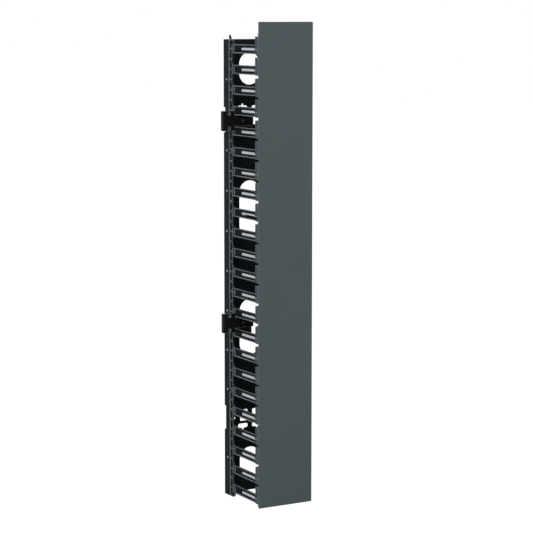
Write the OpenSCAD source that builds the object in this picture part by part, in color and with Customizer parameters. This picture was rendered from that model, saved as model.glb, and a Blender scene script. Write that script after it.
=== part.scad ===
// Vertical cable manager for a rack: a steel back pan, slotted finger panels on both sides,
// rack brackets, and a door that hangs on a rod at each side and so opens left or right.
// Millimetres. The origin is on the rear face of the back pan, at mid width and the bottom
// end; the door faces -Y, and +Z is up.

/* [Overall] */
// Rack unit, which is the pitch of the fingers
rack_unit = 44.45; // [40:0.05:50]
// Number of fingers on each side
finger_count = 23; // [23:2:31]
// Distance from each end of the base to the nearest finger's centre line
end_margin = 20; // [17:0.5:24]
// Width of the base over its two outer side faces
base_w = 130; // [122:1:150]

/* [Back pan] */
// Sheet thickness of the pan
pan_t = 1.5; // [1:0.1:2]
// Depth of the pan's side flanges
pan_flange = 24; // [20:0.5:27]
// Outer radius of the pan's bends
pan_bend_r = 2.5; // [2.2:0.1:4]
// Width of the cable pass-through holes
pass_w = 52; // [40:1:60]
// Height of the two short pass-through holes
pass_short_h = 71; // [62:1:90]
// Height of the two long pass-through holes
pass_long_h = 127; // [100:1:150]
// Width of each lacing window
lacing_w = 19; // [10:0.5:22]
// Height of each lacing window
lacing_h = 26; // [16:0.5:30]
// Width of the web between the two lacing windows of a station
lacing_web = 12; // [8:0.5:16]
// Width of the bar of a T-slot
tee_w = 25; // [18:0.5:28]
// Height of the bar of a T-slot
tee_h = 10; // [7:0.5:11]
// Width of the stem of a T-slot
tee_stem_w = 4.5; // [3:0.5:6]
// Length of the stem of a T-slot, beyond its bar
tee_stem_h = 4; // [2:0.5:8]
// Distance of a T-slot's centre from the middle of the pan
tee_x = 18; // [16:0.5:22]
// Height of the corner notches at the end stations
notch_h = 55; // [40:1:60]
// Depth of the corner notches in the side flanges
notch_depth = 14; // [8:0.5:18]
// Width of the corner notches in the back wall
notch_w = 9; // [5:0.5:10]

/* [Finger panels] */
// Thickness of the panel between its rims
web_t = 2.2; // [1.8:0.1:3]
// Height of the rims and ribs over that web
rim_height = 1.65; // [1.4:0.05:2.5]
// Width of the rims beside the gaps
rim_w = 1.6; // [1.2:0.1:2.5]
// Distance from the rear face to the rear edge of the panels
panel_rear = 5; // [3:0.5:8]
// Distance from the rear face to the root of the gaps between fingers
root_depth = 40; // [38:0.5:46]
// Distance from the root of the gaps to the rear of the finger tips
finger_reach = 103; // [95:1:130]
// Height of a finger
finger_h = 19.5; // [16:0.5:22]
// Radius at the lower corner of a gap's root
root_low_r = 8; // [4:0.5:9]
// Radius at the upper corner of a gap's root
root_high_r = 2; // [1:0.5:3]
// Width of the rungs and rails of the ladder behind the fingers
rung_w = 2; // [1.2:0.1:3]
// Distance from the root of the gaps to the front end of the ladder, on a finger
ladder_step = 7; // [5:0.5:10]
// Length of the raised rib on a finger's centre line
rib_l = 66; // [40:1:85]
// Width of that rib
rib_w = 5; // [3:0.5:8]
// Width over flats of the hexagon bosses on the ladder
boss_w = 9; // [7:0.5:10]
// Height of those bosses over the side face
boss_proud = 0.5; // [0.2:0.1:1]
// Number of fingers on each of the two end mouldings of a side
end_fingers = 8; // [6:1:9]
// Gap between two mouldings of a side
seam = 0.3; // [0.1:0.1:0.6]
// Height of the small tab on the top end of each side
tab_h = 10; // [5:0.5:15]
// Depth of that tab
tab_depth = 9; // [7:0.5:12]

/* [Finger tips] */
// Depth of the tip bars, front to back
tip_depth = 14; // [11:0.5:18]
// Thickness of the tip bars, across the base
tip_t = 8; // [7:0.5:10]
// Height of a tip bar above its finger
tip_rise = 18; // [14:0.5:18]
// Depth of a tip bar below its finger
tip_drop = 1; // [0.5:0.5:2]
// Slant of the ends of the tip bars
tip_slant = 1.5; // [0:0.5:2]
// Radius of the corners of the tip bars
tip_r = 2.5; // [1:0.5:4]

/* [Door] */
// Width of the door
door_w = 134; // [130:1:136]
// Sheet thickness of the door
door_t = 1.2; // [0.8:0.1:1.6]
// Height of the door's lower edge above the bottom of the base
door_bottom = 1.4; // [0.5:0.1:2]
// Height of the door's upper edge above the top of the base
door_rise = 38; // [30:1:60]
// Gap between the finger tips and the door
door_gap = 3.8; // [3:0.1:5]
// Depth of the folds at the top and bottom of the door
door_fold = 8; // [5:0.5:12]
// Distance from the door's side edges to the ends of those folds
fold_inset = 14; // [13:0.5:25]
// Radius of the door's corners
door_corner_r = 2; // [1:0.5:5]

/* [Hinges] */
// Radius of the hinge rods
rod_r = 1.5; // [1.2:0.1:1.6]
// Distance from the outer side face of the base to a rod's axis
rod_inset = 3.2; // [3:0.1:4]
// Distance from the front of the finger tips to a rod's axis
rod_depth = 2; // [1.8:0.1:3]
// Radial clearance of a rod in the grooves of the tips
groove_clear = 0.1; // [0.05:0.01:0.1]
// Radial clearance of a rod in the door's lugs
lug_clear = 0.05; // [0.02:0.01:0.1]
// Number of lugs at each side of the door
lug_count = 6; // [3:1:8]
// Sheet thickness of the lugs
lug_t = 2; // [1.5:0.1:2.5]
// Radius of the rounded end of a lug
lug_r = 3.4; // [3:0.1:4]
// Width of a lug's foot on the door
lug_foot_w = 14; // [10:0.5:20]
// Height of a lug's foot on the door
lug_foot_h = 12; // [8:0.5:16]
// Thickness of a lug's foot
lug_foot_t = 1.5; // [1.2:0.1:2]
// Radius of the push nuts on the rods
nut_r = 3.4; // [2.8:0.1:4]
// Thickness of the push nuts
nut_t = 1; // [0.8:0.1:1.2]
// Gap between a push nut and the lug beside it
nut_gap = 0.2; // [0.1:0.1:0.4]
// Length of a rod beyond its push nut
rod_end = 1; // [0.5:0.1:1.2]

/* [Rack brackets] */
// Sheet thickness of the brackets
bracket_t = 2; // [1.5:0.1:2.5]
// Distance from the rear face to the front of the bracket
bracket_depth = 55; // [52:0.5:70]
// Reach of the ear beyond the base's side face
ear_reach = 30; // [26:0.5:36]
// Height of the ear
ear_h = 44; // [40:0.5:44.4]
// Gap between the ear and the base's side face
ear_gap = 1; // [0.5:0.1:1.5]
// Depth of the lip on the ear, behind the bracket's front
lip_depth = 11; // [8:0.5:14]
// Inner radius of the bracket's bends
bend_r = 1; // [0.5:0.1:2]
// Radius of the lip's and the ear's corners
ear_corner_r = 4; // [2:0.5:6]
// Radius of the bolt holes in the ear
ear_hole_r = 3.5; // [2.5:0.1:4]
// Spacing of the two bolt holes in the ear
ear_hole_spacing = 31.75; // [25:0.25:33]
// Clearance of the bracket's tongue in the gap between two fingers
tongue_clear = 0.75; // [0.4:0.05:1.5]
// Reach of the tongue inside the base's side face
tongue_reach = 46; // [42:0.5:50]
// Length of the foot on the back wall
foot_l = 33; // [28:0.5:36]
// Distance from the side face to the foot's screws
screw_inset = 25; // [20:0.5:28]
// Spacing of the foot's two screws
screw_spacing = 12; // [11:0.5:13]
// Radius of the screws' shanks
screw_r = 2.5; // [2:0.1:3]
// Radius of the screws' heads
screw_head_r = 4.5; // [3.5:0.1:4.8]
// Height of the screws' heads
screw_head_h = 2.6; // [2:0.1:4]
// Radius of the small hole in the tongue
tongue_hole_r = 2.2; // [1.5:0.1:3]
// Distance from the side face to that hole
tongue_hole_x = 19; // [12:0.5:26]

/* [Rivets] */
// Distance from the rear face to the rivets in the flanges
rivet_depth = 17; // [15:0.5:19]
// Radius of the rivets' shanks
rivet_r = 1.6; // [1.2:0.1:2]
// Radius of the rivets' heads
rivet_head_r = 2.6; // [2.2:0.1:3.2]
// Height of the rivets' heads
rivet_head_h = 0.8; // [0.5:0.1:1.2]

/* [Fits] */
// Clearance between the panels and the pan's flanges
panel_clear = 0.15; // [0.05:0.05:0.25]
// Radial clearance of the screws and rivets in their holes
hole_clear = 0.05; // [0.02:0.01:0.1]

/* [Hidden] */
$fn = 48;

// Overlap of cutting tools beyond the faces that they cut
cut = 1;
// Steps in a computed corner arc
corner_steps = 4;

// Stations, in rack units above (+) or below (-) the middle of the base
short_pass_station = 10;
long_pass_station = 3;
end_station = 7.5;
upper_bracket_station = 7.5;
lower_bracket_station = -2.5;
boss_station = 6;
rivet_stations = [-9.5, -6, -4, -2, 0, 2, 4, 6, 9.5];
// Every place where a bracket's foot can be screwed on, at either side
foot_stations = [7.5, -2.5, -7.5];

// Lacing windows and T-slots, measured from an end station towards the base's nearer end
lacing_offset = -12;
tee_offset = 20;

side_x = base_w / 2;
base_h = (finger_count - 1) * rack_unit + 2 * end_margin;
mid_z = base_h / 2;
half_unit = rack_unit / 2;

gap_h = rack_unit - finger_h;
web_outer = side_x - rim_height;
web_inner = web_outer - web_t;
flange_inner = side_x - pan_t;
tip_rear = root_depth + finger_reach;
tip_front = tip_rear + tip_depth;
tip_gap = rack_unit - finger_h - tip_rise - tip_drop;
ladder_rear = pan_flange + panel_clear;

rod_x = side_x - rod_inset;
rod_y = -(tip_front - rod_depth);
door_back = tip_front + door_gap;
door_front = door_back + door_t;
door_top = base_h + door_rise;

tongue_h = gap_h - 2 * tongue_clear;
ear_edge = side_x + ear_gap;
ear_end = side_x + ear_reach;
ear_hole_x = (ear_edge + ear_end) / 2;
leg_x = side_x - tongue_reach;
foot_end = leg_x + foot_l;
screw_x = side_x - screw_inset;

// Height of the centre line of a finger, counted from 0 at the bottom
function finger_z(k) = end_margin + k * rack_unit;
// Height of a station given in rack units from the middle
function station_z(units) = mid_z + units * rack_unit;
// Height of the middle of the gap below tip bar k, which is also the gap above bar k - 1
function tip_gap_z(k) = finger_z(k) - finger_h / 2 - tip_drop - tip_gap / 2;
// The tip gaps that hold a lug, spread evenly from below the first bar to above the last
function lug_gap(i) = round(i * finger_count / (lug_count - 1));
function lug_z(i) = tip_gap_z(lug_gap(i));

// Points on the arc that rounds the corner b of a convex outline through a, b and c
function corner_arc(a, b, c, r) =
    let (to_a = (a - b) / norm(a - b), to_c = (c - b) / norm(c - b))
    let (half = acos(to_a * to_c) / 2)
    let (centre = b + (to_a + to_c) / norm(to_a + to_c) * r / sin(half))
    let (start = b + to_a * r / tan(half) - centre)
    let (from = atan2(start[1], start[0]), sweep = 180 - 2 * half)
    [for (i = [0 : corner_steps])
        centre + r * [cos(from + sweep * i / corner_steps), sin(from + sweep * i / corner_steps)]];

// A convex outline, given anticlockwise, with its corners rounded
function rounded(points, r) =
    let (n = len(points))
    [for (i = [0 : n - 1])
        each corner_arc(points[(i + n - 1) % n], points[i], points[(i + 1) % n], r)];

// A rectangle with true round corners, from its lower left corner
module round_rect(w, h, r) {
    translate([r, 0]) square([w - 2 * r, h]);
    translate([0, r]) square([w, h - 2 * r]);
    for (x = [r, w - r], y = [r, h - r]) translate([x, y]) circle(r);
}

// An upright slot with full round ends, about its centre
module upright_slot(w, h) {
    translate([-w / 2, -(h - w) / 2]) square([w, h - w]);
    for (s = [-1, 1]) translate([0, s * (h - w) / 2]) circle(w / 2);
}

// A side view, drawn as depth from the rear by height, made solid between two distances
// from the middle plane and placed on the left side
module on_left(inner, outer) {
    rotate([90, 0, -90]) translate([0, 0, inner]) linear_extrude(outer - inner) children();
}

// A front view, drawn as width by height, made solid between two depths from the rear
module from_front(rear, front) {
    translate([0, -rear, 0]) rotate([90, 0, 0]) linear_extrude(front - rear) children();
}

module on_right() {
    mirror([1, 0, 0]) children();
}

// ---- Back pan ----

module pan_section() {
    inner_r = pan_bend_r - pan_t;
    difference() {
        union() {
            translate([-side_x, -pan_flange]) square([base_w, pan_flange - pan_bend_r]);
            translate([pan_bend_r - side_x, -pan_bend_r]) square([base_w - 2 * pan_bend_r, pan_bend_r]);
            for (s = [-1, 1]) translate([s * (side_x - pan_bend_r), -pan_bend_r]) circle(pan_bend_r);
        }
        translate([-flange_inner, -pan_flange - cut])
            square([2 * flange_inner, pan_flange + cut - pan_bend_r]);
        translate([pan_bend_r - side_x, -pan_bend_r - cut])
            square([base_w - 2 * pan_bend_r, pan_bend_r + cut - pan_t]);
        for (s = [-1, 1]) translate([s * (side_x - pan_bend_r), -pan_bend_r]) circle(inner_r);
    }
}

// Openings of an end station, drawn for the lower one with its station at height 0
module station_openings() {
    for (s = [-1, 1]) {
        translate([s > 0 ? lacing_web / 2 : -lacing_web / 2 - lacing_w, -lacing_offset - lacing_h])
            round_rect(lacing_w, lacing_h, 2);
        translate([s * tee_x, -tee_offset]) {
            translate([-tee_w / 2, -tee_h]) round_rect(tee_w, tee_h, tee_h / 2 - 0.5);
            translate([-tee_stem_w / 2, -tee_h - tee_stem_h]) square([tee_stem_w, tee_stem_h + tee_h / 2]);
        }
    }
}

module wall_openings() {
    for (s = [-1, 1]) {
        translate([0, station_z(s * short_pass_station)]) upright_slot(pass_w, pass_short_h);
        translate([0, station_z(s * long_pass_station)]) upright_slot(pass_w, pass_long_h);
    }
    translate([0, station_z(-end_station)]) station_openings();
    translate([0, station_z(end_station)]) mirror([0, 1]) station_openings();
}

module foot_holes() {
    for (units = foot_stations, s = [-1, 1], side = [-1, 1])
        translate([side * screw_x, cut, station_z(units) + s * screw_spacing / 2])
            rotate([90, 0, 0]) cylinder(r = screw_r + hole_clear, h = pan_t + 2 * cut);
}

module corner_notches() {
    for (s = [-1, 1], side = [-1, 1])
        translate([side * side_x, 0, station_z(s * end_station)])
            cube([2 * notch_w, 2 * notch_depth, notch_h], center = true);
}

module back_pan() {
    color("#33393d") difference() {
        linear_extrude(base_h) pan_section();
        from_front(-cut, pan_t + cut) wall_openings();
        foot_holes();
        corner_notches();
        rivet_places() rivet_hole();
        on_right() rivet_places() rivet_hole();
    }
}

// ---- Rivets between the pan's flanges and the panels, on the left side ----

// Places a rivet's axis along Z with 0 on the base's outer side face and the inside at -Z
module rivet_places(from = -finger_count, to = finger_count) {
    for (units = rivet_stations)
        if (units > from && units < to)
            translate([-side_x, -rivet_depth, station_z(units)]) rotate([0, -90, 0]) children();
}

module rivet_hole() {
    translate([0, 0, web_inner - side_x - cut])
        cylinder(r = rivet_r + hole_clear, h = side_x - web_inner + 2 * cut);
}

module rivet() {
    translate([0, 0, web_inner - side_x]) cylinder(r = rivet_r, h = side_x - web_inner);
    cylinder(r = rivet_head_r, h = rivet_head_h);
    translate([0, 0, web_inner - side_x - rivet_head_h]) cylinder(r = rivet_head_r, h = rivet_head_h);
}

module panel_rivets() {
    color("#8d9499") rivet_places() rivet();
}

// ---- Finger panels, on the left side, drawn as depth from the rear by height ----

// The gap above a finger, with its lower edge at height 0
module gap_outline() {
    front = tip_front + cut;
    translate([root_depth, 0]) {
        translate([root_low_r, root_low_r]) circle(root_low_r);
        translate([root_high_r, gap_h - root_high_r]) circle(root_high_r);
        translate([root_low_r, 0]) square([front - root_depth - root_low_r, gap_h]);
        translate([0, root_low_r]) square([root_low_r, gap_h - root_low_r - root_high_r]);
        translate([root_high_r, gap_h - 2 * root_high_r])
            square([root_low_r - root_high_r, 2 * root_high_r]);
    }
}

// What is cut away below the lowest finger, in front of the ladder
module end_outline() {
    edge = end_margin - finger_h / 2;
    corner = root_depth + ladder_step;
    difference() {
        translate([corner - root_low_r, -cut]) square([tip_front, edge + cut]);
        translate([corner - root_low_r - cut, root_low_r]) square([root_low_r + cut, edge]);
        translate([corner - root_low_r, root_low_r]) circle(root_low_r);
    }
}

// The panel's outline between two heights
module panel_outline(from, to, first, last) {
    difference() {
        translate([panel_rear, from]) square([tip_rear + tip_r - panel_rear, to - from]);
        for (k = [first - 1 : last])
            if (k >= 0 && k < finger_count - 1) translate([0, finger_z(k) + finger_h / 2]) gap_outline();
        if (first == 0) end_outline();
        if (last == finger_count - 1) translate([0, base_h]) mirror([0, 1]) end_outline();
    }
}

// A recessed cell between two rungs of the ladder, with its lower rung's centre at height 0
module ladder_cell() {
    translate([ladder_rear + rung_w, rung_w / 2])
        square([root_depth - ladder_rear - 2 * rung_w, half_unit - rung_w]);
}

// The recesses of a finger, about its centre line: two small cells and two long pockets
module finger_recesses() {
    height = finger_h / 2 - rim_w;
    pocket_rear = root_depth + ladder_step + rung_w;
    for (s = [0, 1]) mirror([0, s]) {
        translate([root_depth, rung_w / 2]) square([ladder_step - rung_w, height - rung_w / 2]);
    }
    translate([pocket_rear, -height]) round_rect(tip_rear - rim_w - pocket_rear, 2 * height, 1);
}

module panel_recesses(from, to, first, last) {
    intersection() {
        translate([0, from + rung_w]) square([tip_front, to - from - 2 * rung_w]);
        for (i = [2 * first - 2 : 2 * last + 2])
            translate([0, finger_z(0) + (i - 0.5) * half_unit - half_unit / 2]) ladder_cell();
    }
    for (k = [first : last]) translate([0, finger_z(k)]) finger_recesses();
}

// A tip bar, about its finger's centre line
module tip_outline() {
    low = -finger_h / 2 - tip_drop;
    high = finger_h / 2 + tip_rise;
    translate([tip_rear, 0])
        polygon(rounded([[0, low], [tip_depth, low - tip_slant / 2],
                         [tip_depth, high - tip_slant], [0, high]], tip_r));
}

// The half-round rib on a finger's centre line
module finger_rib() {
    radius = (rib_w * rib_w / 4 + rim_height * rim_height) / (2 * rim_height);
    rear = tip_rear + tip_depth / 2 - rib_l;
    intersection() {
        translate([radius - side_x, -rear, 0]) rotate([90, 0, 0]) cylinder(r = radius, h = rib_l);
        translate([-side_x - cut, -rear - rib_l - cut, -rib_w])
            cube([rim_height + web_t / 2 + cut, rib_l + 2 * cut, 2 * rib_w]);
    }
}

module tip_groove() {
    radius = rod_r + groove_clear;
    translate([-rod_x, rod_y, -cut]) cylinder(r = radius, h = door_top);
    translate([-rod_x - radius, rod_y - rod_depth - cut, -cut])
        cube([2 * radius, rod_depth + cut, door_top]);
}

module top_tab() {
    translate([0, base_h - cut])
        polygon([[ladder_rear, 0], [ladder_rear + tab_depth, 0],
                 [ladder_rear + tab_depth, cut + tab_h / 3], [ladder_rear + tab_depth / 2, cut + tab_h],
                 [ladder_rear, cut + tab_h]]);
}

// One moulding of the left side, with the fingers first to last
module finger_panel(first, last) {
    from = first == 0 ? 0 : finger_z(first) - half_unit + seam / 2;
    to = last == finger_count - 1 ? base_h : finger_z(last) + half_unit - seam / 2;
    color("#3a4145") difference() {
        union() {
            difference() {
                on_left(web_inner, side_x) panel_outline(from, to, first, last);
                on_left(web_outer, side_x + cut) panel_recesses(from, to, first, last);
                on_left(flange_inner - panel_clear, side_x + cut)
                    translate([0, -cut]) square([ladder_rear, base_h + 2 * cut]);
            }
            for (k = [first : last]) translate([0, 0, finger_z(k)]) {
                on_left(side_x - tip_t, side_x) tip_outline();
                finger_rib();
            }
            for (s = [-1, 1])
                if (station_z(s * boss_station) > from && station_z(s * boss_station) < to)
                    translate([0, 0, station_z(s * boss_station)])
                        on_left(web_inner + web_t / 2, side_x + boss_proud)
                            translate([(ladder_rear + root_depth) / 2, 0])
                                circle(d = boss_w / cos(30), $fn = 6);
            if (last == finger_count - 1) on_left(web_inner, web_outer) top_tab();
        }
        tip_groove();
        rivet_places((from - mid_z) / rack_unit, (to - mid_z) / rack_unit) rivet_hole();
    }
}

module lower_panel() {
    finger_panel(0, end_fingers - 1);
}

module middle_panel() {
    finger_panel(end_fingers, finger_count - end_fingers - 1);
}

module upper_panel() {
    finger_panel(finger_count - end_fingers, finger_count - 1);
}

// ---- Rack brackets and their screws, on the left side at height 0 ----

// A quarter bend of the sheet about its own centre, in the quadrant given by two signs
module bend(sx, sy) {
    outer = bend_r + bracket_t;
    difference() {
        intersection() {
            circle(outer);
            quadrant(sx, sy, outer);
        }
        circle(bend_r);
    }
}

// The square of the quadrant given by two signs
module quadrant(sx, sy, size) {
    translate([sx > 0 ? 0 : -size, sy > 0 ? 0 : -size]) square(size);
}

// The bent sheet seen from above: lip, ear and tongue, leg, and foot
module bracket_section() {
    turn = bend_r + bracket_t;
    front = -bracket_depth;
    translate([-ear_end, front + turn]) square([bracket_t, lip_depth - turn]);
    translate([turn - ear_end, front + turn]) bend(-1, -1);
    translate([turn - ear_end, front]) square([ear_end - leg_x - 2 * turn, bracket_t]);
    translate([-leg_x - turn, front + turn]) bend(1, -1);
    translate([-leg_x - bracket_t, front + turn]) square([bracket_t, bracket_depth - pan_t - 2 * turn]);
    translate([-leg_x - turn, -pan_t - turn]) bend(1, 1);
    translate([-foot_end, -pan_t - bracket_t]) square([foot_end - leg_x - turn, bracket_t]);
}

module rack_bracket() {
    color("#16181a") difference() {
        union() {
            intersection() {
                translate([0, 0, -ear_h / 2]) linear_extrude(ear_h) bracket_section();
                translate([-ear_end, 0, 0]) from_front(0, 2 * bracket_depth)
                    translate([0, -ear_h / 2]) round_rect(ear_reach - ear_gap, ear_h, 1);
                on_left(0, 2 * ear_end) translate([bracket_depth - lip_depth, -ear_h / 2])
                    lip_outline();
            }
            intersection() {
                translate([0, 0, -tongue_h / 2]) linear_extrude(tongue_h) bracket_section();
                translate([-ear_edge - cut, -2 * bracket_depth, -ear_h])
                    cube([2 * ear_edge, 2 * bracket_depth, 2 * ear_h]);
            }
        }
        for (s = [-1, 1]) {
            translate([-ear_hole_x, 0, s * ear_hole_spacing / 2]) rotate([90, 0, 0])
                cylinder(r = ear_hole_r, h = bracket_depth + cut);
            translate([-screw_x, -pan_t + cut, s * screw_spacing / 2]) rotate([90, 0, 0])
                cylinder(r = screw_r + hole_clear, h = bracket_t + 2 * cut);
        }
        translate([-side_x + tongue_hole_x, -bracket_depth / 2, 0]) rotate([90, 0, 0])
            cylinder(r = tongue_hole_r, h = bracket_depth);
    }
}

// The lip's side view, with its two rear corners rounded
module lip_outline() {
    translate([ear_corner_r, 0]) square([lip_depth - ear_corner_r + cut, ear_h]);
    translate([0, ear_corner_r]) square([lip_depth, ear_h - 2 * ear_corner_r]);
    for (z = [ear_corner_r, ear_h - ear_corner_r]) translate([ear_corner_r, z]) circle(ear_corner_r);
}

module bracket_screws() {
    color("#9aa0a4") for (s = [-1, 1]) translate([-screw_x, 0, s * screw_spacing / 2]) {
        rotate([90, 0, 0]) cylinder(r = screw_r, h = pan_t + bracket_t + screw_head_h / 2);
        translate([0, -pan_t - bracket_t, 0]) rotate([90, 0, 0]) difference() {
            cylinder(r = screw_head_r, h = screw_head_h);
            translate([0, 0, screw_head_h / 2]) cylinder(r = screw_r * 0.7, h = screw_head_h, $fn = 6);
        }
    }
}

// ---- Door, lugs, rods and push nuts ----

module door_panel() {
    fold_w = door_w - 2 * fold_inset;
    color("#5a6468") union() {
        from_front(door_back, door_front) translate([-door_w / 2, door_bottom])
            round_rect(door_w, door_top - door_bottom, door_corner_r);
        for (z = [door_bottom, door_top - door_t])
            translate([-fold_w / 2, -door_back, z]) cube([fold_w, door_fold, door_t]);
    }
}

// A lug of the left side at height 0: a tab that turns on the rod, and its foot on the door
module door_lug() {
    foot_outer = rod_x - lug_r;
    difference() {
        union() {
            translate([0, 0, -lug_t / 2]) linear_extrude(lug_t) {
                translate([-rod_x, rod_y]) circle(lug_r);
                translate([-rod_x, -door_back]) square([lug_r + lug_foot_w, door_back + rod_y + lug_r]);
            }
            translate([-foot_outer, -door_back, -lug_t / 2]) cube([lug_foot_w, lug_foot_t, lug_foot_h]);
        }
        translate([-rod_x, rod_y, -lug_t]) cylinder(r = rod_r + lug_clear, h = 2 * lug_t);
    }
}

module door_lugs() {
    color("#4a5256") for (i = [0 : lug_count - 1]) translate([0, 0, lug_z(i)]) door_lug();
}

module hinge_rod() {
    low = lug_z(0) - lug_t / 2 - nut_gap - nut_t - rod_end;
    high = lug_z(lug_count - 1) + lug_t / 2 + nut_gap + nut_t + rod_end;
    color("#b4babd") translate([-rod_x, rod_y, low]) cylinder(r = rod_r, h = high - low);
}

module push_nuts() {
    below = lug_z(0) - lug_t / 2 - nut_gap - nut_t;
    above = lug_z(lug_count - 1) + lug_t / 2 + nut_gap;
    color("#8d9499") for (z = [below, above]) translate([-rod_x, rod_y, z]) difference() {
        cylinder(r = nut_r, h = nut_t);
        translate([0, 0, -cut]) cylinder(r = rod_r + lug_clear, h = nut_t + 2 * cut);
    }
}

back_pan();
lower_panel();  // finger_panel_left_lower
middle_panel();  // finger_panel_left_middle
upper_panel();  // finger_panel_left_upper
on_right() lower_panel();  // finger_panel_right_lower
on_right() middle_panel();  // finger_panel_right_middle
on_right() upper_panel();  // finger_panel_right_upper
panel_rivets();  // panel_rivets_left
on_right() panel_rivets();  // panel_rivets_right
translate([0, 0, station_z(upper_bracket_station)]) rack_bracket();  // rack_bracket_upper
translate([0, 0, station_z(lower_bracket_station)]) rack_bracket();  // rack_bracket_lower
translate([0, 0, station_z(upper_bracket_station)]) bracket_screws();  // bracket_screws_upper
translate([0, 0, station_z(lower_bracket_station)]) bracket_screws();  // bracket_screws_lower
door_panel();
door_lugs();  // door_lugs_left
on_right() door_lugs();  // door_lugs_right
hinge_rod();  // hinge_rod_left
on_right() hinge_rod();  // hinge_rod_right
push_nuts();  // push_nuts_left
on_right() push_nuts();  // push_nuts_right
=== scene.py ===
"""Looks of the vertical cable manager: finishes, rounded edges, ribs, fasteners, light and camera."""
import logging
import math
from dataclasses import dataclass, field
from enum import Enum

import bmesh
import bpy
from mathutils import Matrix, Vector


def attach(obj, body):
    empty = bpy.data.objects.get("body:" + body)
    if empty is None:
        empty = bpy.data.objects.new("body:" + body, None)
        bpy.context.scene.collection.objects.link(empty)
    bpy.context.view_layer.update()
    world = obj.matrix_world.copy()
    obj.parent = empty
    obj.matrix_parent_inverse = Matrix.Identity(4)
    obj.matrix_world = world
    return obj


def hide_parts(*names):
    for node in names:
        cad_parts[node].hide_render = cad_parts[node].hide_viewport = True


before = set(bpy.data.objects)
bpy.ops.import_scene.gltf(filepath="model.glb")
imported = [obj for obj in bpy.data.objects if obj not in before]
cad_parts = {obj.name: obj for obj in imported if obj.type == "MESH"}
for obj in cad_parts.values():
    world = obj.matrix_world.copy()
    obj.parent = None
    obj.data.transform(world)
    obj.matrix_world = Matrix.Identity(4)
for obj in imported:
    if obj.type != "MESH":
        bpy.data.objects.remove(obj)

log = logging.getLogger("cable_manager")

MM = 0.001
RACK_UNIT = 44.45 * MM
# Half the height of the base: 22 steps of a rack unit and two end margins of 20 mm.
BASE_MIDDLE_MM = 508.95


# ---- Small helpers ----


def linear(hex_colour: str) -> tuple[float, float, float, float]:
    """Turns an sRGB hex colour into linear RGBA.

    Args:
        hex_colour: Colour written as "#rrggbb".

    Returns:
        Linear red, green and blue, with an alpha of 1.
    """
    channels = [int(hex_colour[i:i + 2], 16) / 255 for i in (1, 3, 5)]
    red, green, blue = (c / 12.92 if c <= 0.04045 else ((c + 0.055) / 1.055) ** 2.4 for c in channels)
    return (red, green, blue, 1.0)


def add_node(tree: bpy.types.NodeTree, kind: str, settings: dict | None = None,
             **inputs: object) -> bpy.types.Node:
    """Adds a node with its settings, socket values and links.

    Args:
        tree: Node tree that gets the node.
        kind: Blender's type name of the node.
        settings: Attributes of the node itself, such as its operation.
        **inputs: Socket values by socket name with spaces written as underscores, or by index as
            in_0. An output socket is linked and anything else is set as the socket's value.

    Returns:
        The new node.
    """
    node = tree.nodes.new(kind)
    for name, value in (settings or {}).items():
        setattr(node, name, value)
    for key, value in inputs.items():
        is_index = key.startswith("in_") and key[3:].isdigit()
        socket = node.inputs[int(key[3:])] if is_index else node.inputs[key.replace("_", " ")]
        if isinstance(value, bpy.types.NodeSocket):
            tree.links.new(value, socket)
        else:
            socket.default_value = value
    return node


def mesh_object(name: str, mesh: bpy.types.Mesh) -> bpy.types.Object:
    """Puts a mesh into the scene as an object at the origin.

    Args:
        name: Name of the object and of its mesh.
        mesh: Mesh with its place in its vertices.

    Returns:
        The new object.
    """
    mesh.name = name
    thing = bpy.data.objects.new(name, mesh)
    bpy.context.scene.collection.objects.link(thing)
    return thing


# ---- Finishes ----


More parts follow.
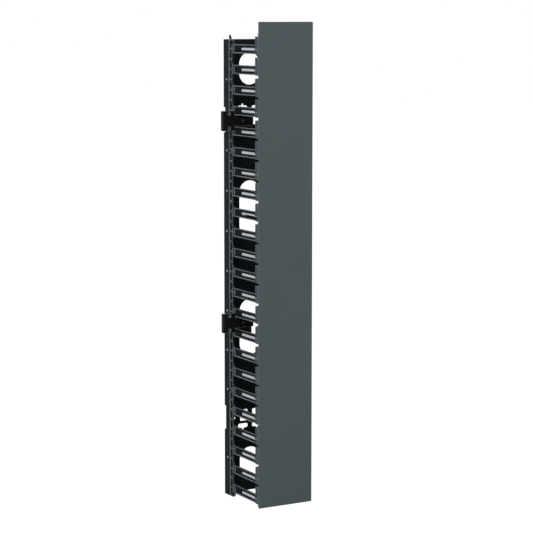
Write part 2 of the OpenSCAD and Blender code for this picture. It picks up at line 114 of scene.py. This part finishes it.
@dataclass(frozen=True)
class Finish:
    """A surface finish: its colour, how rough it is and how fine its texture is.

    Attributes:
        name: Name of the material.
        colour: Main sRGB colour.
        shade: Second sRGB colour, which drifts through the first.
        roughness: Mean roughness.
        grain_mm: Size of the fine texture.
        drift_mm: Size of the slow changes of colour.
        bump_mm: Height of the fine texture.
        metallic: 1 for bare metal and 0 for paint and plastic.
        ior: Index of refraction of paint or plastic.
        gloss: Strength of the gloss of paint or plastic, where 0.5 is the index's own.
    """

    name: str
    colour: str
    shade: str
    roughness: float
    grain_mm: float
    drift_mm: float
    bump_mm: float
    metallic: float = 0.0
    ior: float = 1.5
    gloss: float = 0.5

    def coordinates(self, tree: bpy.types.NodeTree) -> bpy.types.NodeSocket:
        """Returns the coordinates that the finish's patterns follow."""
        return add_node(tree, "ShaderNodeTexCoord").outputs["Object"]

    def base_colour(self, tree: bpy.types.NodeTree, place: bpy.types.NodeSocket) -> bpy.types.NodeSocket:
        """Adds the colour, which drifts slowly between its two shades.

        Args:
            tree: Node tree of the material.
            place: Coordinates of the pattern.

        Returns:
            The colour's output socket.
        """
        drift = add_node(tree, "ShaderNodeTexNoise", Vector=place, Scale=1 / (self.drift_mm * MM),
                         Detail=3.0, Roughness=0.5)
        mix = add_node(tree, "ShaderNodeMix", {"data_type": "RGBA"}, in_0=drift.outputs[0],
                       in_6=linear(self.colour), in_7=linear(self.shade))
        return mix.outputs[2]

    def rough(self, tree: bpy.types.NodeTree, grain: bpy.types.NodeSocket) -> bpy.types.NodeSocket:
        """Adds the roughness, which follows the grain a little.

        Args:
            tree: Node tree of the material.
            grain: Output socket of the fine texture.

        Returns:
            The roughness's output socket.
        """
        spread = add_node(tree, "ShaderNodeMapRange", Value=grain, From_Min=0.3, From_Max=0.7,
                          To_Min=self.roughness - 0.06, To_Max=self.roughness + 0.06)
        return spread.outputs[0]

    def material(self) -> bpy.types.Material:
        """Builds the finish as a material and returns it."""
        made = bpy.data.materials.new(self.name)
        made.use_nodes = True
        tree = made.node_tree
        tree.nodes.clear()
        place = self.coordinates(tree)
        grain = add_node(tree, "ShaderNodeTexNoise", Vector=place, Scale=1 / (self.grain_mm * MM),
                         Detail=2.0, Roughness=0.6)
        bump = add_node(tree, "ShaderNodeBump", Height=grain.outputs[0], Distance=self.bump_mm * MM,
                        Strength=1.0)
        shader = add_node(tree, "ShaderNodeBsdfPrincipled", Base_Color=self.base_colour(tree, place),
                          Roughness=self.rough(tree, grain.outputs[0]), Metallic=self.metallic,
                          IOR=self.ior, Specular_IOR_Level=self.gloss, Normal=bump.outputs[0])
        add_node(tree, "ShaderNodeOutputMaterial", Surface=shader.outputs[0])
        return made


@dataclass(frozen=True)
class TippedFinish(Finish):
    """Moulded plastic whose front bars, beside the door, are smoother than the rest and coloured lighter
    as a painted highlight.

    Attributes:
        bar_mm: Depth in front of the rear face at which the front bars begin.
        bar_highlight_colour: sRGB colour of the front bars, lighter than the ground as a painted
            highlight.
        bar_roughness: Roughness of the front bars.
    """

    bar_mm: float = 143.5
    bar_highlight_colour: str = "#474f54"
    bar_roughness: float = 0.4

    def on_bar(self, tree: bpy.types.NodeTree) -> bpy.types.NodeSocket:
        """Returns a socket that is 1 on the front bars and 0 elsewhere."""
        split = add_node(tree, "ShaderNodeSeparateXYZ", Vector=self.coordinates(tree))
        over = add_node(tree, "ShaderNodeMath", {"operation": "LESS_THAN"}, in_0=split.outputs[1],
                        in_1=-self.bar_mm * MM)
        return over.outputs[0]

    def base_colour(self, tree: bpy.types.NodeTree, place: bpy.types.NodeSocket) -> bpy.types.NodeSocket:
        """Adds the ground's colour and, on the front bars, a lighter colour painted on as a highlight.

        Args:
            tree: Node tree of the material.
            place: Coordinates of the pattern.

        Returns:
            The colour's output socket.
        """
        ground = super().base_colour(tree, place)
        # On the front bars the lighter colour is a painted highlight.
        mix = add_node(tree, "ShaderNodeMix", {"data_type": "RGBA"}, in_0=self.on_bar(tree),
                       in_6=ground, in_7=linear(self.bar_highlight_colour))
        return mix.outputs[2]

    def rough(self, tree: bpy.types.NodeTree, grain: bpy.types.NodeSocket) -> bpy.types.NodeSocket:
        """Adds the ground's roughness and, on the front bars, the smoother one.

        Args:
            tree: Node tree of the material.
            grain: Output socket of the fine texture.

        Returns:
            The roughness's output socket.
        """
        ground = super().rough(tree, grain)
        mix = add_node(tree, "ShaderNodeMix", {"data_type": "FLOAT"}, in_0=self.on_bar(tree),
                       in_2=ground, in_3=self.bar_roughness)
        return mix.outputs[0]


class Surface(Enum):
    """The finishes of the manager's pieces."""

    # Sprayed and baked powder on steel: an even grey with a faint orange-peel texture. The peel of
    # 1 to 2 mm is too fine to show, so it is drawn at 4 mm.
    DOOR_POWDER = Finish("door_powder_coat", "#434c51", "#3e474c", 0.5, 4.0, 160.0, 0.012, gloss=0.22)
    # The same paint in near black on the pan.
    PAN_POWDER = Finish("pan_powder_coat", "#171c1e", "#13181a", 0.6, 4.0, 120.0, 0.012, gloss=0.04)
    # Injection-moulded ABS: a fine spark-eroded ground, and smoother front bars, whose lighter colour is a
    # painted highlight.
    PANEL_ABS = TippedFinish("panel_moulded_abs", "#0f1315", "#0c1011", 0.65, 2.5, 60.0, 0.02, ior=1.53,
                             gloss=0.03)
    # The same ABS along the rounded edges of the rims, which are polished; their light grey colour is a
    # painted highlight for the light they catch.
    EDGE_HIGHLIGHT_ABS = Finish("panel_edge_painted_highlight", "#838d94", "#7c868d", 0.35, 2.5, 60.0, 0.004, ior=1.53)
    # Polished rib of the same moulding, whose light grey colour is a painted highlight that makes it show
    # as a bright bar.
    RIB_HIGHLIGHT_ABS = Finish("rib_painted_highlight_abs", "#b6bfc9", "#aeb7c1", 0.3, 3.0, 50.0, 0.004, ior=1.53)
    # Black powder coat on the folded brackets.
    BRACKET_POWDER = Finish("bracket_powder_coat", "#0a0c0d", "#08090a", 0.5, 3.0, 40.0, 0.012, gloss=0.12)
    # The same paint on the brackets' rounded edges, in a light grey that is a painted highlight for the
    # gleam along them.
    BRACKET_EDGE_HIGHLIGHT = Finish("bracket_edge_painted_highlight", "#7c8488", "#757d81", 0.35, 3.0, 40.0, 0.004)
    # Dark paint on the lugs.
    LUG_POWDER = Finish("lug_powder_coat", "#3d4447", "#373e41", 0.48, 3.0, 30.0, 0.01)
    # Bright zinc on screws and push nuts: pale grey metal with a soft gloss.
    ZINC = Finish("zinc_plated_steel", "#b7bbbd", "#a5aaac", 0.32, 1.5, 8.0, 0.004, metallic=1.0)
    # Drawn steel wire of the hinge rods.
    DRAWN_STEEL = Finish("drawn_steel", "#a9adaf", "#9a9fa1", 0.28, 2.0, 15.0, 0.003, metallic=1.0)
    # Aluminium of the blind rivets.
    ALUMINIUM = Finish("bare_aluminium", "#8f9496", "#868b8d", 0.45, 1.5, 8.0, 0.003, metallic=1.0)


@dataclass
class Paintshop:
    """Makes each finish once and hands it out.

    Attributes:
        made: Materials by finish.
    """

    made: dict[Surface, bpy.types.Material] = field(default_factory=dict)

    def of(self, surface: Surface) -> bpy.types.Material:
        """Returns the material of a finish, and makes it the first time."""
        if surface not in self.made:
            self.made[surface] = surface.value.material()
        return self.made[surface]

    def dress(self, thing: bpy.types.Object, surface: Surface) -> None:
        """Gives all of an object one finish.

        Args:
            thing: Object to dress.
            surface: Finish that it gets.
        """
        thing.data.materials.clear()
        thing.data.materials.append(self.of(surface))
        log.info("%s is finished in %s", thing.name, surface.value.name)


# ---- Sheet and moulded pieces, with rounded edges ----


@dataclass
class RoundedPart:
    """A CAD node shown with its edges rounded, as bending, moulding or paint leaves them.

    Attributes:
        node: Name of the CAD node.
        body: Body that it moves with.
        surface: Finish.
        slot: Material slot in the record; not used.
        edge_mm: Radius of the rounded edges.
        edge: Finish of the rounded edges, where it is another one; here always a lighter painted
            highlight.
    """

    node: str
    body: str
    surface: Surface
    slot: str
    edge_mm: float = 0.3
    edge: Surface | None = None

    def build(self, shop: Paintshop) -> bpy.types.Object:
        """Makes the rounded copy, dresses it and lets it stand for its node.

        Args:
            shop: Source of the materials.

        Returns:
            The new piece.
        """
        shape = bmesh.new()
        shape.from_mesh(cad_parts[self.node].data)
        bmesh.ops.remove_doubles(shape, verts=shape.verts, dist=0.001 * MM)
        bmesh.ops.dissolve_limit(shape, angle_limit=math.radians(1), verts=shape.verts,
                                 edges=shape.edges)
        mesh = bpy.data.meshes.new(self.node + "_shell")
        shape.to_mesh(mesh)
        shape.free()
        piece = mesh_object(self.node + "_shell", mesh)
        shop.dress(piece, self.surface)
        bevel = piece.modifiers.new("rounded_edges", "BEVEL")
        bevel.width = self.edge_mm * MM
        bevel.segments = 2
        bevel.limit_method = "ANGLE"
        bevel.angle_limit = math.radians(35)
        bevel.use_clamp_overlap = self.edge is None
        bevel.harden_normals = True
        # The bevel faces take the edge finish, whose lighter colour is a painted highlight.
        if self.edge is not None:
            piece.data.materials.append(shop.of(self.edge))
            bevel.material = 1
        for face in piece.data.polygons:
            face.use_smooth = True
        piece.data.set_sharp_from_angle(angle=math.radians(35))
        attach(piece, self.body)
        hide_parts(self.node)
        return piece


@dataclass
class BracketPlate:
    """The tall plate at the inner end of a bracket's tongue, which the solids leave out.

    Attributes:
        name: Name of the piece.
        middle_mm: Height of the bracket's middle.
        outer_mm: Distance of the plate's outer edge from the middle plane.
        inner_mm: Distance of its inner edge from the middle plane.
        front_mm: Depth of its front face.
        sheet_mm: Thickness of the sheet.
        rise_mm: Height of the plate's top over the bracket's middle.
        drop_mm: Depth of its bottom under the bracket's middle.
        corner_mm: Radius of its corners.
        steps: Number of steps in a corner.
    """

    name: str
    middle_mm: float
    outer_mm: float = 60.2
    inner_mm: float = 24.0
    front_mm: float = 53.1
    sheet_mm: float = 1.8
    rise_mm: float = 19.0
    drop_mm: float = 26.0
    corner_mm: float = 3.0
    steps: int = 6

    def outline(self) -> list[tuple[float, float]]:
        """Returns the plate's outline from the front, as distances and heights in millimetres."""
        points = []
        for x, z, start in ((self.outer_mm, 1, 0), (self.inner_mm, 1, 90), (self.inner_mm, -1, 180),
                            (self.outer_mm, -1, 270)):
            inward = -1 if x == self.outer_mm else 1
            reach = self.rise_mm if z > 0 else self.drop_mm
            centre = (x + inward * self.corner_mm, z * (reach - self.corner_mm))
            for step in range(self.steps + 1):
                turn = math.radians(start + 90 * step / self.steps)
                points.append((centre[0] + self.corner_mm * math.cos(turn),
                               centre[1] + self.corner_mm * math.sin(turn)))
        return points

    def build(self, shop: Paintshop) -> bpy.types.Object:
        """Makes the plate with a painted highlight on its edges and adds it to the base.

        Args:
            shop: Source of the materials.

        Returns:
            The new piece.
        """
        shape = bmesh.new()
        ring = [shape.verts.new((-x * MM, -self.front_mm * MM, (self.middle_mm + z) * MM))
                for x, z in self.outline()]
        face = shape.faces.new(ring)
        grown = bmesh.ops.extrude_face_region(shape, geom=[face])
        moved = [item for item in grown["geom"] if isinstance(item, bmesh.types.BMVert)]
        bmesh.ops.translate(shape, verts=moved, vec=(0, self.sheet_mm * MM, 0))
        bmesh.ops.recalc_face_normals(shape, faces=shape.faces)
        mesh = bpy.data.meshes.new(self.name)
        shape.to_mesh(mesh)
        shape.free()
        piece = mesh_object(self.name, mesh)
        shop.dress(piece, Surface.BRACKET_POWDER)
        # The plate's bevel faces carry a painted highlight.
        piece.data.materials.append(shop.of(Surface.BRACKET_EDGE_HIGHLIGHT))
        bevel = piece.modifiers.new("rounded_edges", "BEVEL")
        bevel.width = 0.3 * MM
        bevel.segments = 2
        bevel.limit_method = "ANGLE"
        bevel.angle_limit = math.radians(35)
        bevel.material = 1
        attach(piece, "base")
        return piece


# ---- What repeats along the height ----


@dataclass
class RepeatTree:
    """Geometry Nodes tree that repeats a mesh at equal steps up the manager.

    Attributes:
        name: Name of the node group.
    """

    name: str = "repeat_up"

    def build(self) -> bpy.types.NodeTree:
        """Builds the tree, with Count, Step and Material as its named inputs, and returns it."""
        tree = bpy.data.node_groups.new(self.name, "GeometryNodeTree")
        face = tree.interface
        for label, kind in (("Geometry", "NodeSocketGeometry"), ("Count", "NodeSocketInt"),
                            ("Step", "NodeSocketFloat"), ("Material", "NodeSocketMaterial")):
            face.new_socket(name=label, in_out="INPUT", socket_type=kind)
        face.new_socket(name="Geometry", in_out="OUTPUT", socket_type="NodeSocketGeometry")
        given = tree.nodes.new("NodeGroupInput").outputs
        offset = add_node(tree, "ShaderNodeCombineXYZ", Z=given["Step"])
        line = add_node(tree, "GeometryNodeMeshLine", {"mode": "OFFSET"}, Count=given["Count"],
                        Offset=offset.outputs[0])
        copies = add_node(tree, "GeometryNodeInstanceOnPoints", Points=line.outputs[0],
                          Instance=given["Geometry"])
        real = add_node(tree, "GeometryNodeRealizeInstances", Geometry=copies.outputs[0])
        painted = add_node(tree, "GeometryNodeSetMaterial", Geometry=real.outputs[0],
                           Material=given["Material"])
        add_node(tree, "NodeGroupOutput", Geometry=painted.outputs[0])
        return tree


@dataclass
class FingerRibs:
    """The polished half-round ribs, one on each finger of a side.

    Attributes:
        side: -1 for the left side and 1 for the right one.
        count: Number of fingers.
        first_mm: Height of the lowest rib.
        front_mm: Depth of the ribs' front ends.
        length_mm: Length of a rib.
        width_mm: Width of a rib.
        crest_mm: Distance of the ribs' crests from the middle plane.
        rise_mm: Height of a rib's crest over its own long edges.
        cover_mm: How far a rib reaches past each end of the solid one below it.
        steps: Number of strips in a rib's rounded face.
    """

    side: int
    count: int = 23
    first_mm: float = 20.0
    front_mm: float = 150.0
    length_mm: float = 66.0
    width_mm: float = 5.4
    crest_mm: float = 65.05
    rise_mm: float = 1.75
    cover_mm: float = 0.1
    steps: int = 8

    def rib(self, name: str) -> bpy.types.Mesh:
        """Makes the lowest rib's mesh.

        Args:
            name: Name of the mesh.

        Returns:
            A closed half-round bar.
        """
        shape = bmesh.new()
        rings = []
        for depth in (-self.cover_mm, self.length_mm + self.cover_mm):
            ring = []
            for step in range(self.steps + 1):
                turn = math.pi * step / self.steps
                out = self.crest_mm - self.rise_mm * (1 - math.sin(turn))
                up = self.first_mm - math.cos(turn) * self.width_mm / 2
                ring.append(shape.verts.new((self.side * out * MM, (depth - self.front_mm) * MM, up * MM)))
            rings.append(ring)
        for one, two in zip(rings, rings[1:]):
            for i in range(self.steps):
                shape.faces.new((one[i], one[i + 1], two[i + 1], two[i]))
            shape.faces.new((one[-1], one[0], two[0], two[-1]))
        shape.faces.new(rings[0])
        shape.faces.new(rings[-1][::-1])
        bmesh.ops.recalc_face_normals(shape, faces=shape.faces)
        mesh = bpy.data.meshes.new(name)
        shape.to_mesh(mesh)
        shape.free()
        return mesh

    def build(self, shop: Paintshop, tree: bpy.types.NodeTree) -> bpy.types.Object:
        """Repeats the rib with the tree, turns the result into a plain mesh and adds it to the base.

        Args:
            shop: Source of the materials.
            tree: Tree that repeats a mesh up the manager.

        Returns:
            The new piece, with all ribs of its side.
        """
        name = "finger_ribs_" + ("left" if self.side < 0 else "right")
        seed = mesh_object(name + "_seed", self.rib(name + "_seed"))
        grower = seed.modifiers.new("repeat", "NODES")
        grower.node_group = tree
        # The ribs' light grey colour is a painted highlight.
        values = {"Count": self.count, "Step": RACK_UNIT, "Material": shop.of(Surface.RIB_HIGHLIGHT_ABS)}
        for socket in tree.interface.items_tree:
            if socket.in_out == "INPUT" and socket.name in values:
                grower[socket.identifier] = values[socket.name]
        ready = seed.evaluated_get(bpy.context.evaluated_depsgraph_get())
        mesh = bpy.data.meshes.new_from_object(ready)
        bpy.data.objects.remove(seed)
        piece = mesh_object(name, mesh)
        for face in piece.data.polygons:
            face.use_smooth = True
        piece.data.set_sharp_from_angle(angle=math.radians(50))
        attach(piece, "base")
        return piece


# ---- Studio ----


@dataclass
class Studio:
    """Floor, light and camera.

    Attributes:
        floor_size: Side of the floor, in metres.
        camera_place: Place of the camera, in metres.
        camera_yaw: Turn of the camera's view from +Y towards +X, in degrees.
        camera_pitch: Tilt of the camera below the horizon, in degrees.
        lens: Focal length on a 36 mm sensor, in millimetres.
    """

    floor_size: float = 30.0
    camera_place: tuple[float, float, float] = (-1.9750, -3.5786, 1.0697)
    camera_yaw: float = 29.43
    camera_pitch: float = 7.77
    lens: float = 124.37

    def backdrop_material(self) -> bpy.types.Material:
        """Makes the white floor that keeps a soft shadow, and returns its material."""
        made = bpy.data.materials.new("white_paper_floor")
        made.use_nodes = True
        tree = made.node_tree
        tree.nodes.clear()
        path = add_node(tree, "ShaderNodeLightPath")
        seen = add_node(tree, "ShaderNodeMath", {"operation": "ADD"},
                        in_0=path.outputs["Is Camera Ray"], in_1=path.outputs["Is Glossy Ray"])
        part = add_node(tree, "ShaderNodeMath", {"operation": "MULTIPLY", "use_clamp": True},
                        in_0=seen.outputs[0], in_1=0.8)
        paper = add_node(tree, "ShaderNodeBsdfDiffuse", Color=linear("#f2f2f2"))
        white = add_node(tree, "ShaderNodeEmission", Color=(1.0, 1.0, 1.0, 1.0), Strength=1.2)
        mix = add_node(tree, "ShaderNodeMixShader", in_0=part.outputs[0], in_1=paper.outputs[0],
                       in_2=white.outputs[0])
        add_node(tree, "ShaderNodeOutputMaterial", Surface=mix.outputs[0])
        return made

    def floor(self) -> None:
        """Lays the floor just below the part."""
        half = self.floor_size / 2
        mesh = bpy.data.meshes.new("floor")
        mesh.from_pydata([(-half, -half, 0), (half, -half, 0), (half, half, 0), (-half, half, 0)],
                         [], [(0, 1, 2, 3)])
        mesh.transform(Matrix.Translation((0, 0, -0.5 * MM)))
        mesh.materials.append(self.backdrop_material())
        mesh_object("floor", mesh)

    def world(self) -> None:
        """Sets an even grey light all round, which the camera and gloss see as white."""
        world = bpy.data.worlds.new("studio")
        bpy.context.scene.world = world
        world.use_nodes = True
        tree = world.node_tree
        tree.nodes.clear()
        path = add_node(tree, "ShaderNodeLightPath")
        seen = add_node(tree, "ShaderNodeMath", {"operation": "ADD", "use_clamp": True},
                        in_0=path.outputs["Is Camera Ray"], in_1=path.outputs["Is Glossy Ray"])
        lit = add_node(tree, "ShaderNodeMath", {"operation": "ADD", "use_clamp": True},
                       in_0=seen.outputs[0], in_1=path.outputs["Is Transmission Ray"])
        strength = add_node(tree, "ShaderNodeMapRange", Value=lit.outputs[0], To_Min=0.5, To_Max=1.0)
        sky = add_node(tree, "ShaderNodeBackground", Color=(1.0, 1.0, 1.0, 1.0),
                       Strength=strength.outputs[0])
        add_node(tree, "ShaderNodeOutputWorld", Surface=sky.outputs[0])

    def softbox(self, name: str, place: tuple[float, float, float], size: tuple[float, float],
                power: float) -> None:
        """Adds a rectangular lamp that faces the middle of the part.

        Args:
            name: Name of the lamp.
            place: Place of the lamp, in metres.
            size: Width and height, in metres.
            power: Power, in watts.
        """
        lamp = bpy.data.lights.new(name, "AREA")
        lamp.shape = "RECTANGLE"
        lamp.size, lamp.size_y = size
        lamp.energy = power
        thing = bpy.data.objects.new(name, lamp)
        bpy.context.scene.collection.objects.link(thing)
        thing.location = place
        aim = Vector((0.0, -0.08, 0.5)) - Vector(place)
        thing.rotation_euler = aim.to_track_quat("-Z", "Y").to_euler()

    def camera(self) -> None:
        """Sets up the camera."""
        lens = bpy.data.cameras.new("camera")
        lens.lens = self.lens
        lens.sensor_width = 36.0
        lens.clip_start = 0.05
        lens.clip_end = 100.0
        thing = bpy.data.objects.new("camera", lens)
        bpy.context.scene.collection.objects.link(thing)
        thing.location = self.camera_place
        thing.rotation_euler = (math.radians(90 - self.camera_pitch), 0.0, -math.radians(self.camera_yaw))
        bpy.context.scene.camera = thing

    def build(self) -> None:
        """Sets up the whole studio."""
        bpy.context.scene.view_settings.view_transform = "Standard"
        self.floor()
        self.world()
        self.camera()
        self.softbox("key_light", (-2.2, -2.6, 2.6), (1.6, 1.6), 60.0)
        self.softbox("fill_light", (2.6, -2.2, 1.4), (1.6, 1.6), 30.0)
        self.softbox("rim_light", (-1.6, 2.6, 1.3), (1.6, 2.6), 6.0)


def main() -> None:
    """Builds the manager's pieces in order, then the studio."""
    logging.basicConfig(level=logging.INFO, format="%(message)s")
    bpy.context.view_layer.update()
    shop = Paintshop()
    parts = [RoundedPart("door_panel", "door", Surface.DOOR_POWDER, "door_paint", 0.5),
             RoundedPart("back_pan", "base", Surface.PAN_POWDER, "pan_paint", 0.4)]
    # The panels' rounded edges carry a painted highlight.
    parts += [RoundedPart(f"finger_panel_{side}_{part}", "base", Surface.PANEL_ABS, "panel_plastic", 0.45,
                          Surface.EDGE_HIGHLIGHT_ABS)
              for side in ("left", "right") for part in ("lower", "middle", "upper")]
    # The brackets' rounded edges carry a painted highlight.
    parts += [RoundedPart(f"rack_bracket_{place}", "base", Surface.BRACKET_POWDER, "bracket_paint", 0.7,
                          Surface.BRACKET_EDGE_HIGHLIGHT)
              for place in ("upper", "lower")]
    parts += [RoundedPart(f"door_lugs_{side}", "door", Surface.LUG_POWDER, "lug_paint", 0.25)
              for side in ("left", "right")]
    for part in parts:
        part.build(shop)
    tree = RepeatTree().build()
    for side in (-1, 1):
        FingerRibs(side).build(shop, tree)
    for place, units in (("upper", 7.5), ("lower", -2.5)):
        BracketPlate(f"bracket_plate_{place}", BASE_MIDDLE_MM + units * RACK_UNIT / MM).build(shop)
    plain = {"hinge_rod_left": Surface.DRAWN_STEEL, "hinge_rod_right": Surface.DRAWN_STEEL,
             "push_nuts_left": Surface.ZINC, "push_nuts_right": Surface.ZINC,
             "bracket_screws_upper": Surface.ZINC, "bracket_screws_lower": Surface.ZINC,
             "panel_rivets_left": Surface.ALUMINIUM, "panel_rivets_right": Surface.ALUMINIUM}
    for node, surface in plain.items():
        shop.dress(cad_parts[node], surface)
    Studio().build()


if __name__ == "__main__":
    main()
